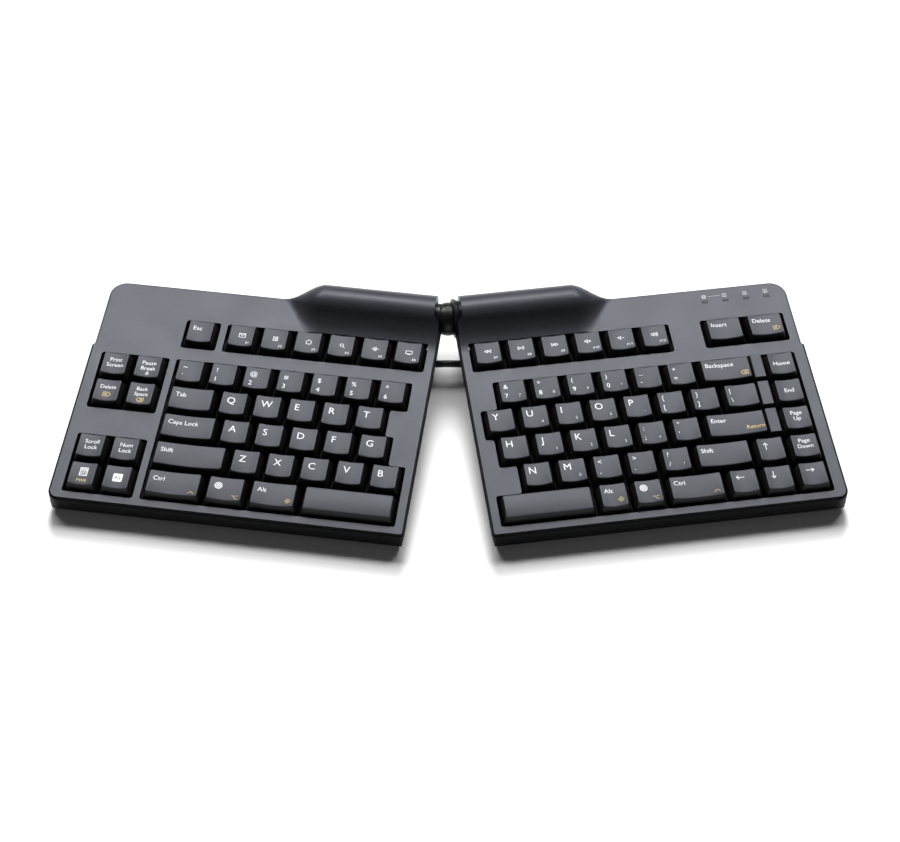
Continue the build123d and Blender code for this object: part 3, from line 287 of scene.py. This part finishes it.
speaker = [[(-0.5, 0.12), (-0.3, 0.12), (-0.08, 0.32), (-0.08, -0.32), (-0.3, -0.12),
            (-0.5, -0.12), (-0.5, 0.12)]]
sign_box = [box_line(-0.42, -0.46, 0.42, 0.46)]
drawings = {
    "envelope": [box_line(-0.5, -0.36, 0.5, 0.36), [(-0.5, 0.36), (0, -0.04), (0.5, 0.36)]],
    "page": [box_line(-0.34, -0.36, 0.34, 0.36), box_line(-0.1, -0.12, 0.1, 0.12)],
    "house": [[(-0.34, -0.36), (0.34, -0.36), (0.42, 0.12), (0, 0.46), (-0.42, 0.12),
               (-0.34, -0.36)]],
    "lens": [ring(-0.08, 0.08, 0.26), [(0.12, -0.12), (0.42, -0.42)]],
    "send": [triangle(-0.48, 0.4, 0.3), [(0.1, 0.36), (0.1, -0.36)], [(0.22, 0), (0.48, 0)]],
    "screen": [box_line(-0.5, -0.28, 0.5, 0.28), [(-0.2, -0.4), (0.2, -0.4)]],
    "back": [triangle(-0.52, 0.46, 0.26), triangle(0.02, 0.46, 0.26)],
    "play": [triangle(0.0, -0.5, 0.28), [(0.2, 0.28), (0.2, -0.28)], [(0.4, 0.28), (0.4, -0.28)]],
    "next": [triangle(0.52, -0.46, 0.26), triangle(-0.02, -0.46, 0.26)],
    "mute": speaker + [[(0.1, 0.16), (0.4, -0.16)], [(0.1, -0.16), (0.4, 0.16)]],
    "softer": speaker + [[(0.12, 0), (0.42, 0)]],
    "louder": speaker + [[(0.08, 0.16), (0.14, 0), (0.08, -0.16)],
                         [(0.24, 0.26), (0.34, 0), (0.24, -0.26)],
                         [(0.4, 0.36), (0.54, 0), (0.4, -0.36)]],
    "rub_out": [[(-0.5, 0), (-0.2, 0.34), (0.5, 0.34), (0.5, -0.34), (-0.2, -0.34), (-0.5, 0)],
                [(0, 0.16), (0.28, -0.16)], [(0, -0.16), (0.28, 0.16)]],
    "rub_ahead": [[(0.5, 0), (0.2, 0.34), (-0.5, 0.34), (-0.5, -0.34), (0.2, -0.34), (0.5, 0)],
                  [(0, 0.16), (-0.28, -0.16)], [(0, -0.16), (-0.28, 0.16)]],
    "caret": [[(-0.5, -0.16), (0, 0.28), (0.5, -0.16)]],
    "choice": [[(-0.5, 0.3), (-0.2, 0.3), (0.16, -0.3), (0.5, -0.3)], [(0.1, 0.3), (0.5, 0.3)]],
    "diamond": [[(0, 0.5), (0.5, 0), (0, -0.5), (-0.5, 0), (0, 0.5)], ring(0, 0, 0.12, 6)],
    "up": [[(0, -0.5), (0, 0.46)], [(-0.26, 0.2), (0, 0.5), (0.26, 0.2)]],
    "down": [[(0, 0.5), (0, -0.46)], [(-0.26, -0.2), (0, -0.5), (0.26, -0.2)]],
    "left": [[(0.5, 0), (-0.46, 0)], [(-0.2, 0.26), (-0.5, 0), (-0.2, -0.26)]],
    "right": [[(-0.5, 0), (0.46, 0)], [(0.2, 0.26), (0.5, 0), (0.2, -0.26)]],
    "menu_ring": [ring(0, 0, 0.44, 20), ring(0, 0, 0.3, 16), ring(0, 0, 0.12, 8),
                  ring(0, 0, 0.04, 6)],
    "padlock": [box_line(-0.26, -0.4, 0.26, 0.02),
                [(-0.16, 0.02), (-0.16, 0.24), (0, 0.38), (0.16, 0.24), (0.16, 0.02)],
                [(0, -0.1), (0, -0.24)]],
    "sums": [box_line(-0.4, -0.5, 0.4, 0.5), box_line(-0.26, 0.2, 0.26, 0.36)]
            + [[(x - 0.03, y), (x + 0.03, y)] for x in (-0.22, 0, 0.22) for y in (0.04, -0.14, -0.32)],
    "tick_box": [box_line(-0.4, -0.4, 0.4, 0.4), box_line(-0.3, -0.3, 0.3, 0.3),
                 [(-0.2, 0), (-0.04, -0.18), (0.24, 0.2)]],
    "one_box": sign_box + [[(-0.12, 0.16), (0.02, 0.26), (0.02, -0.26)],
                           [(-0.14, -0.26), (0.16, -0.26)]],
    "a_box": sign_box + [[(-0.2, -0.26), (0, 0.28), (0.2, -0.26)],
                         [(-0.12, -0.08), (0.12, -0.08)]],
    "down_box": sign_box + [[(0, 0.28), (0, -0.26)], [(-0.16, -0.1), (0, -0.28), (0.16, -0.1)]],
    "dash": [[(-0.5, 0), (0.5, 0)]],
}
pictures = {}


def picture(name, width):
    """A little line drawing one unit across, as flat strips of a width."""
    if (name, width) not in pictures:
        bm = bmesh.new()
        for line in drawings[name]:
            for (x0, y0), (x1, y1) in zip(line, line[1:]):
                run = Vector((x1 - x0, y1 - y0))
                turn = Matrix.Rotation(run.angle_signed(Vector((1, 0))), 4, "Z")
                strip = (Matrix.Translation(((x0 + x1) / 2, (y0 + y1) / 2, 0)) @ turn
                         @ Matrix.Diagonal((run.length + width, width, 1, 1)))
                bmesh.ops.create_grid(bm, x_segments=1, y_segments=1, size=0.5, matrix=strip)
        mesh = bpy.data.meshes.new(name)
        bm.to_mesh(mesh)
        bm.free()
        pictures[name, width] = mesh
    return pictures[name, width]


def plate():
    """A plain square plate one unit across with rounded corners."""
    bm = bmesh.new()
    bmesh.ops.create_grid(bm, x_segments=1, y_segments=1, size=0.5)
    bmesh.ops.bevel(bm, geom=bm.verts[:], offset=0.12, segments=4, profile=0.5,
                    affect="VERTICES", material=-1)
    mesh = bpy.data.meshes.new("plate")
    bm.to_mesh(mesh)
    bm.free()
    return mesh


def lay(bm, mark, place, slot, surface, step=1.0 * MM):
    """Lay a flat mark on a surface given as a height over x and y, cut at each step to follow it."""
    part = bmesh.new()
    part.from_mesh(mark)
    bmesh.ops.transform(part, matrix=place, verts=part.verts)
    xs = [v.co.x for v in part.verts]
    cut = min(xs) + step
    while cut < max(xs):
        bmesh.ops.bisect_plane(part, geom=part.verts[:] + part.edges[:] + part.faces[:],
                               dist=1e-7, plane_co=(cut, 0, 0), plane_no=(1, 0, 0))
        cut += step
    for v in part.verts:
        v.co.z = surface(v.co.x, v.co.y) + ink_lift
    for f in part.faces:
        f.material_index = slot
        if f.normal.z < 0:
            f.normal_flip()
    mesh = bpy.data.meshes.new("mark")
    part.to_mesh(mesh)
    part.free()
    bm.from_mesh(mesh)
    bpy.data.meshes.remove(mesh)


# Key caps

def cap_shell(bm, width, steep, is_space):
    """One key cap with leaning sides, rounded edges and a dished or crowned top.

    Its right side stands more upright by steep, as it does beside a filler bar.
    """
    made = bmesh.ops.create_cube(bm, size=1)
    verts = made["verts"]
    bmesh.ops.scale(bm, vec=(width, key_depth, key_height + crest), verts=verts)
    bmesh.ops.translate(bm, vec=(0, 0, (crest - key_height) / 2), verts=verts)
    for v in verts:
        if v.co.z > 0:
            lean = side_lean - (steep if v.co.x > 0 else 0)
            v.co.x -= lean if v.co.x > 0 else -lean
            v.co.y -= front_lean if v.co.y > 0 else -front_lean
    uprights = [e for e in bm.edges if abs(e.verts[0].co.z - e.verts[1].co.z) > crest]
    bmesh.ops.bevel(bm, geom=uprights, offset=cap_corner, segments=4, profile=0.5,
                    affect="EDGES", material=-1)
    rim = [e for e in bm.edges if all(v.co.z > 0 for v in e.verts)]
    bmesh.ops.bevel(bm, geom=rim, offset=cap_rim, segments=3, profile=0.5,
                    affect="EDGES", material=-1)
    top = cap_top(width, steep, is_space)
    axis, reach = (1, key_depth / 2) if is_space else (0, width / 2)
    for i in range(1, cap_strips):
        spot, way = Vector((0, 0, 0)), Vector((0, 0, 0))
        spot[axis], way[axis] = -reach + 2 * reach * i / cap_strips, 1
        bmesh.ops.bisect_plane(bm, geom=bm.verts[:] + bm.edges[:] + bm.faces[:], dist=1e-7,
                               plane_co=spot, plane_no=way)
    low = crest - shaped_depth
    for v in bm.verts:
        if v.co.z > low:
            share = min(1, (v.co.z - low) / (crest - low))
            v.co.z += (top(v.co.x, v.co.y) - crest) * share
    bm.normal_update()
    for f in bm.faces:
        f.smooth = True
        # Upward faces keep the key plastic; the sides get the darker skirt material, which is painted
        # shade.
        f.material_index = 0 if f.normal.z > 0.55 else 1


def cap_top(width, steep, is_space):
    """The height of a cap's top over its middle plane."""
    half = width / 2 - side_lean + steep / 2
    middle = steep / 2
    deep = key_depth / 2 - front_lean

    def over(x, y):
        if is_space:
            return crest - crown * min(1.2, (y / deep) ** 2)
        return crest - dish * max(0, 1 - ((x - middle) / half) ** 2)
    return over


# Marks on a key: what, where from the top's rear left corner in mm, height in mm, ink slot.
# None for x centres the mark on the key, and a negative x puts its middle left of the right edge.
# "@" starts the name of a drawing.
# DARK prints with slot 1, the skirt material that is also the caps' painted side shade.
WHITE, GREY, GOLD, DARK = 2, 3, 4, 1


def big(letter, extra=None):
    marks = [(letter, 2.4, 2.5, 4.1, WHITE)]
    if extra:
        marks.append((extra, -3.3, 9.6, 1.9, GREY))
    return marks


def pair(upper, lower, extra=None):
    marks = [(upper, 2.1, 2.3, 2.9, WHITE), (lower, 2.1, 8.6, 2.9, WHITE)]
    if extra:
        marks.append((extra, -3.3, 9.4, 1.9, GREY))
    return marks


def label(text, *more):
    return [(text, 1.9, 2.8, 2.7, WHITE)] + list(more)


def two_lines(first, second, *more):
    return [(first, None, 2.6, 2.45, WHITE), (second, None, 6.4, 2.45, WHITE)] + list(more)


def function_key(drawing, n):
    return [("@" + drawing, None, 4.3, 3.6, WHITE), ("F%d" % n, -2.9, 10.5, 1.6, WHITE)]


LAYOUT = {
    "left": [
        ("left_upper_keys", 5.5, [(0, 1, label("Esc"))] + [
            (n + 0.25, n + 1.25, function_key(d, n)) for n, d in
            enumerate(("envelope", "page", "house", "lens", "send", "screen"), 1)]),
        ("left_upper_keys", 4, [(n, n + 1, pair(a, b)) for n, (a, b) in
                                enumerate(("~`", "!1", "@2", "#3", "$4", "%5", "^6"))]),
        ("letters", 3, [(n + 1.5, n + 2.5, c) for n, c in enumerate("QWERT")]),
        ("letters", 2, [(n + 1.75, n + 2.75, c) for n, c in enumerate("ASDFG")]),
        ("letters", 1, [(n + 2.25, n + 3.25, c) for n, c in enumerate("ZXCVB")]),
        ("left_outer_keys", 3, [(0, 1.5, label("Tab"))]),
        ("left_outer_keys", 2, [(0, 1.75, label("Caps Lock"))]),
        ("left_outer_keys", 1, [(0, 2.25, label("Shift"))]),
        ("left_outer_keys", 0, [
            (0, 1.75, label("Ctrl", ("@caret", -3.6, 10.0, 3.2, GOLD))),
            (1.75, 3, [("@menu_ring", 4.4, 2.4, 4.4, WHITE), ("@choice", -3.5, 9.8, 3.2, GOLD)]),
            (3, 4.5, label("Alt", ("@diamond", -3.4, 8.6, 3.0, GOLD)))]),
        ("left_space_bar", 0, [(4.5, 7.25, [])]),
        ("left_outer_keys", 4, [
            (-2.25, -1.25, two_lines("Print", "Screen")),
            (-1.25, -0.25, two_lines("Pause", "Break", ("@padlock", None, 9.6, 2.6, WHITE)))]),
        ("left_outer_keys", 3, [
            (-2.25, -1.25, [("Delete", None, 3.0, 2.3, WHITE), ("@rub_ahead", None, 7.2, 4.0, GOLD)]),
            (-1.25, -0.25, [("Back", None, 2.0, 2.3, WHITE), ("Space", None, 5.6, 2.3, WHITE),
                            ("@rub_out", None, 8.8, 3.8, GOLD)])]),
        ("left_outer_keys", 1, [(-2.25, -1.25, two_lines("Scroll", "Lock")),
                                (-1.25, -0.25, two_lines("Num", "Lock"))]),
        ("left_outer_keys", 0, [
            (-2.25, -1.25, [("@sums", None, 2.6, 5.0, WHITE), ("PWR", None, 9.9, 1.8, GOLD)]),
            (-1.25, -0.25, [("#plate", None, 4.0, 5.2, WHITE), ("Fn", None, 5.6, 2.3, DARK)])]),
    ],
    "right": [
        ("right_upper_keys", 5.5, [(n - 1.5, n - 0.5, function_key(d, n)) for n, d in
                                   enumerate(("back", "play", "next", "mute", "softer", "louder"), 7)]
         + [(12.5, 13.75, label("Insert")),
            (13.75, 15, label("Delete", ("@rub_ahead", -3.6, 8.4, 3.6, GOLD)))]),
        ("right_upper_keys", 4, [(n, n + 1, pair(*m)) for n, m in
                                 enumerate((("&", "7", "7"), ("*", "8", "8"), ("(", "9", "9"),
                                            (")", "0", "*"), ("_", "-"), ("+", "=")), 6)]
         + [(12, 13.62, label("Backspace", ("@rub_out", -3.6, 9.0, 3.8, GOLD)))]),
        ("letters", 3, [(n + 5.5, n + 6.5, c) for n, c in enumerate(("Y", "U4", "I5", "O6", "P-"))]),
        ("letters", 2, [(n + 5.75, n + 6.75, c) for n, c in enumerate(("H", "J1", "K2", "L3"))]),
        ("letters", 1, [(n + 6.25, n + 7.25, c) for n, c in enumerate(("N", "M0"))]),
        ("right_outer_keys", 4, [(14, 15, [("Home", None, 5.8, 2.6, WHITE)])]),
        ("right_outer_keys", 3, [
            (10.5, 11.5, pair("{", "[")), (11.5, 12.5, pair("}", "]")),
            (12.5, 13.62, pair("|", "\\")), (14, 15, [("End", None, 5.8, 2.6, WHITE)])]),
        ("right_outer_keys", 2, [
            (9.75, 10.75, pair(":", ";", "+")), (10.75, 11.75, pair("\"", "'")),
            (11.75, 13.62, label("Enter", ("Return", -5.6, 8.8, 2.5, GOLD))),
            (14, 15, two_lines("Page", "Up"))]),
        ("right_outer_keys", 1, [
            (8.25, 9.25, pair("<", ",")), (9.25, 10.25, pair(">", ".", ".")),
            (10.25, 11.25, pair("?", "/", "/")), (11.25, 13, label("Shift")),
            (13, 14, [("@up", 4.3, 3.0, 4.2, WHITE)]), (14, 15, two_lines("Page", "Down"))]),
        ("right_outer_keys", 0, [
            (8.25, 9.25, label("Alt", ("@diamond", -3.4, 8.6, 3.0, GOLD))),
            (9.25, 10.25, [("@menu_ring", 4.4, 2.4, 4.4, WHITE), ("@choice", -3.5, 9.8, 3.2, GOLD)]),
            (10.25, 12, label("Ctrl", ("@caret", -3.6, 10.0, 3.2, GOLD))),
            (12, 13, [("@left", 5.0, 2.4, 4.2, WHITE)]), (13, 14, [("@down", 4.3, 3.0, 4.2, WHITE)]),
            (14, 15, [("@right", 5.6, 2.4, 4.2, WHITE)])]),
        ("right_space_bar", 0, [(5.5, 8.25, [])]),
    ],
}


def key_marks(bm, marks, width, steep, surface, nudge):
    """Print a key's marks on its top."""
    left = -width / 2 + side_lean
    right = width / 2 - side_lean + steep
    rear = key_depth / 2 - front_lean
    for what, x, y, tall, slot in marks:
        tall *= MM
        y = rear - y * MM - nudge
        is_picture = len(what) > 2 and what[0] == "@"
        low, high, scale, drop = -0.5, 0.5, tall, tall / 2
        if what == "#plate":
            mark = plate()
        elif is_picture:
            mark = picture(what[1:], 0.09)
        else:
            mark = word(what)
            low, high = extent(mark, 0)
            scale = tall / cap_unit
            drop = tall
        span = (high - low) * scale
        if x is None:
            at = (left + right) / 2 - span / 2 + nudge / 2
        elif x < 0:
            at = right + x * MM - span / 2
        elif is_picture:
            at = left + x * MM - span / 2 + nudge
        else:
            at = left + x * MM + nudge
        lift = dark_ink_lift if slot == DARK else 0
        place = (Matrix.Translation((at - low * scale, y - drop, 0))
                 @ Matrix.Diagonal((scale, scale, 1, 1)))
        lay(bm, mark, place, slot, lambda px, py: surface(px, py) + lift)


def build_keys():
    """Every key cap, joined by the body that it moves with."""
    shells = {}
    for side, rows in LAYOUT.items():
        place = half_place[side]
        for body, row, cells in rows:
            for start, end, marks in cells:
                width = (end - start) * pitch - key_gap
                steep = 0 if abs(end * 4 - round(end * 4)) < 0.01 else side_lean / 2
                is_space = "space" in body
                name = body
                if body == "letters":
                    name = "key_" + marks[0].lower()
                    marks = big(*marks)
                shell = bmesh.new()
                cap_shell(shell, width, steep, is_space)
                nudge = 0.7 * MM if side == "left" else 0
                key_marks(shell, marks, width, steep, cap_top(width, steep, is_space), nudge)
                spot = Vector((column_start[side] + (start + end) / 2 * pitch, row * pitch, 0))
                bmesh.ops.transform(shell, matrix=place @ Matrix.Translation(spot), verts=shell.verts)
                mesh = bpy.data.meshes.new("cap")
                shell.to_mesh(mesh)
                shell.free()
                if name not in shells:
                    shells[name] = bmesh.new()
                shells[name].from_mesh(mesh)
                bpy.data.meshes.remove(mesh)
    for name, bm in shells.items():
        title = "keycap_" + name[-1] if name.startswith("key_") else name + "_caps"
        # Slot 1 is the skirt material: painted shade on the cap sides, and the Fn mark's dark ink.
        piece = finish_piece(title, bm, name, "keycap", "keycap", "skirt_shade_and_dark_ink", "white_ink", "grey_ink",
                             "gold_ink")
        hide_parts(name)


build_keys()


# Marks beside the status lights

def build_light_marks():
    """A sign behind each status light, and a dash between the first two, printed on the cover."""
    bm = bmesh.new()
    marks = [(name, i, sign_size, sign_size)
             for i, name in enumerate(("tick_box", "one_box", "a_box", "down_box"))]
    marks.append(("dash", 0.5, sign_spacing - sign_dash_gap, 2 * MM))
    for name, i, wide, tall in marks:
        place = (Matrix.Translation((sign_first + i * sign_spacing, sign_row, 0))
                 @ Matrix.Diagonal((wide, tall, 1, 1)))
        lay(bm, picture(name, 0.1), place, 0, lambda x, y: bezel_w, 20 * MM)
    bmesh.ops.transform(bm, matrix=half_place["right"], verts=bm.verts)
    finish_piece("light_marks", bm, "right_half", "cover", "grey_ink")


build_light_marks()


# CAD pieces with softened edges

def softened(node, body, slot, material, width, angle=35):
    """A copy of a CAD node with its edges rounded by a width in mm, standing for the node."""
    bm = bmesh.new()
    bm.from_mesh(nodes[node].data)
    bmesh.ops.remove_doubles(bm, verts=bm.verts, dist=0.002 * MM)
    bmesh.ops.dissolve_limit(bm, angle_limit=radians(0.3), verts=bm.verts, edges=bm.edges)
    for f in bm.faces:
        f.smooth = True
    for e in bm.edges:
        e.smooth = not (e.is_manifold and e.calc_face_angle(0) > radians(angle))
    piece = finish_piece(node + "_shell", bm, body, slot, material)
    step = piece.modifiers.new("edges", "BEVEL")
    step.width = width * MM
    step.segments = 2
    step.limit_method = "ANGLE"
    step.angle_limit = radians(angle)
    step.harden_normals = False
    step.use_clamp_overlap = True
    even_normals(piece)
    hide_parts(node)


for half in ("left", "right"):
    softened(half + "_top_cover", half + "_half", "cover", "cover", 0.35)
    softened(half + "_bottom_tray", half + "_half", "tray", "tray", 0.5)
    softened(half + "_feet", half + "_half", "foot_rubber", "foot", 0.4)
softened("ball_stud", "left_half", "joint_plastic", "joint", 0.25, angle=40)
softened("socket_cup", "right_half", "joint_plastic", "joint", 0.3, angle=25)
softened("lock_lever", "lock_lever", "lever_plastic", "joint", 0.4)
softened("filler_bars", "right_half", "filler", "keycap", 0.4)
softened("battery_door", "battery_door", "tray", "tray", 0.3)


def build_cable():
    """The bridge cable in two lengths that meet between the halves, where the joint's core turns."""
    turn = Matrix.Rotation(-splay, 4, "Z")
    foot = Vector((0, joint.y, 0))
    left = [foot + turn @ (Vector(p) * MM) for p in (cable_socket, cable_wall)]
    middle = foot + Vector(cable_top) * MM
    route = left + [middle] + [Vector((-p.x, p.y, p.z)) for p in reversed(left)]
    curve = bpy.data.curves.new("bridge_cable", "CURVE")
    curve.dimensions = "3D"
    line = curve.splines.new("NURBS")
    line.points.add(len(route) - 1)
    for point, place in zip(line.points, route):
        point.co = (*place, 1)
    line.order_u = 3
    line.use_endpoint_u = True
    line.resolution_u = 12
    curve.bevel_depth = cable_radius
    curve.bevel_resolution = 5
    curve.use_fill_caps = True
    holder = bpy.data.objects.new("bridge_cable_line", curve)
    bpy.context.scene.collection.objects.link(holder)
    bpy.context.view_layer.update()
    tube = bpy.data.meshes.new_from_object(holder)
    bpy.data.objects.remove(holder)
    for side, way in (("left", -1), ("right", 1)):
        bm = bmesh.new()
        bm.from_mesh(tube)
        bmesh.ops.remove_doubles(bm, verts=bm.verts, dist=0.001 * MM)
        cut = bmesh.ops.bisect_plane(bm, geom=bm.verts[:] + bm.edges[:] + bm.faces[:], dist=1e-7,
                                     plane_co=middle, plane_no=(way, 0, 0), clear_inner=True)
        rim = [e for e in cut["geom_cut"] if isinstance(e, bmesh.types.BMEdge)]
        bmesh.ops.contextual_create(bm, geom=rim)
        bmesh.ops.recalc_face_normals(bm, faces=bm.faces)
        for f in bm.faces:
            f.smooth = len(f.verts) < 6
        piece = finish_piece(side + "_bridge_cable", bm, None, "cable_jacket", "cable")
        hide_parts("bridge_cable")
        if side == "left":
            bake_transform(piece)
        else:
            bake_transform(piece)


build_cable()

carried = {
    "left_key_frame": "underside", "right_key_frame": "underside",
    "left_dome_sheet": "rubber", "right_dome_sheet": "rubber",
    "left_membrane": "film", "right_membrane": "film",
    "left_link_board": "board", "controller_board": "board", "led_board": "board",
    "status_lenses": "lens", "left_screws": "steel", "right_screws": "steel",
    "clamp_rod": "bright", "swivel_core": "core", "tent_pin": "core", "battery_cells": "cell",
}
for node, material in carried.items():
    dress(nodes[node], material)


# Floor, light and camera

def build_floor():
    """A pale, dull floor, which the camera sees a touch lighter than it is lit."""
    bm = bmesh.new()
    bmesh.ops.create_grid(bm, x_segments=1, y_segments=1, size=4)
    mesh = bpy.data.meshes.new("floor")
    bm.to_mesh(mesh)
    bm.free()
    floor = bpy.data.objects.new("floor", mesh)
    bpy.context.scene.collection.objects.link(floor)
    made = bpy.data.materials.new("pale_floor")
    made.use_nodes = True
    n, l = made.node_tree.nodes, made.node_tree.links
    shader = n["Principled BSDF"]
    shader.inputs["Base Color"].default_value = (0.92, 0.92, 0.92, 1)
    shader.inputs["Roughness"].default_value = 0.9
    shader.inputs["Specular IOR Level"].default_value = 0.1
    glow, add = n.new("ShaderNodeEmission"), n.new("ShaderNodeAddShader")
    rays, strength = n.new("ShaderNodeLightPath"), n.new("ShaderNodeMath")
    strength.operation = "MULTIPLY"
    strength.inputs[1].default_value = 0.02
    l.new(rays.outputs["Is Camera Ray"], strength.inputs[0])
    l.new(strength.outputs[0], glow.inputs["Strength"])
    l.new(shader.outputs[0], add.inputs[0])
    l.new(glow.outputs[0], add.inputs[1])
    l.new(add.outputs[0], n["Material Output"].inputs["Surface"])
    floor.data.materials.append(made)


def lamp(name, kind, energy, place, **extra):
    """A light at a place that shines at the middle of the floor."""
    data = bpy.data.lights.new(name, kind)
    data.energy = energy
    for key, value in extra.items():
        setattr(data, key, value)
    made = bpy.data.objects.new(name, data)
    made.location = place
    made.rotation_euler = (Vector((0, 0, 0)) - Vector(place)).to_track_quat("-Z", "Y").to_euler()
    bpy.context.scene.collection.objects.link(made)
    return made


build_floor()
low_sun = lamp("rear_sun", "SUN", 4.6, (0.0, 0.9, 0.58), angle=radians(20))
low_sun.visible_glossy = False
lamp("rear_panel", "AREA", 19, (0.0, 0.68, 0.98), shape="RECTANGLE", size=1.7, size_y=0.35)

scene = bpy.context.scene
world = bpy.data.worlds.new("studio")
scene.world = world
world.use_nodes = True
n, l = world.node_tree.nodes, world.node_tree.links
rays, blend_step = n.new("ShaderNodeLightPath"), n.new("ShaderNodeMapRange")
blend_step.inputs["To Min"].default_value = 0.03
blend_step.inputs["To Max"].default_value = 1.0
l.new(rays.outputs["Is Camera Ray"], blend_step.inputs["Value"])
l.new(blend_step.outputs["Result"], n["Background"].inputs["Strength"])
n["Background"].inputs["Color"].default_value = (1, 1, 1, 1)

camera_data = bpy.data.cameras.new("camera")
camera_data.sensor_width = 36
camera_data.lens = 87.16
camera = bpy.data.objects.new("camera", camera_data)
aim = Vector((1.03, -79.6, 27.45)) * MM + Vector((0, joint.y, 0))
eye = Vector((1.03, -867.0, 917.7)) * MM + Vector((0, joint.y, 0))
camera.location = eye
camera.rotation_euler = (aim - eye).to_track_quat("-Z", "Y").to_euler()
scene.collection.objects.link(camera)
scene.camera = camera
scene.view_settings.view_transform = "Standard"
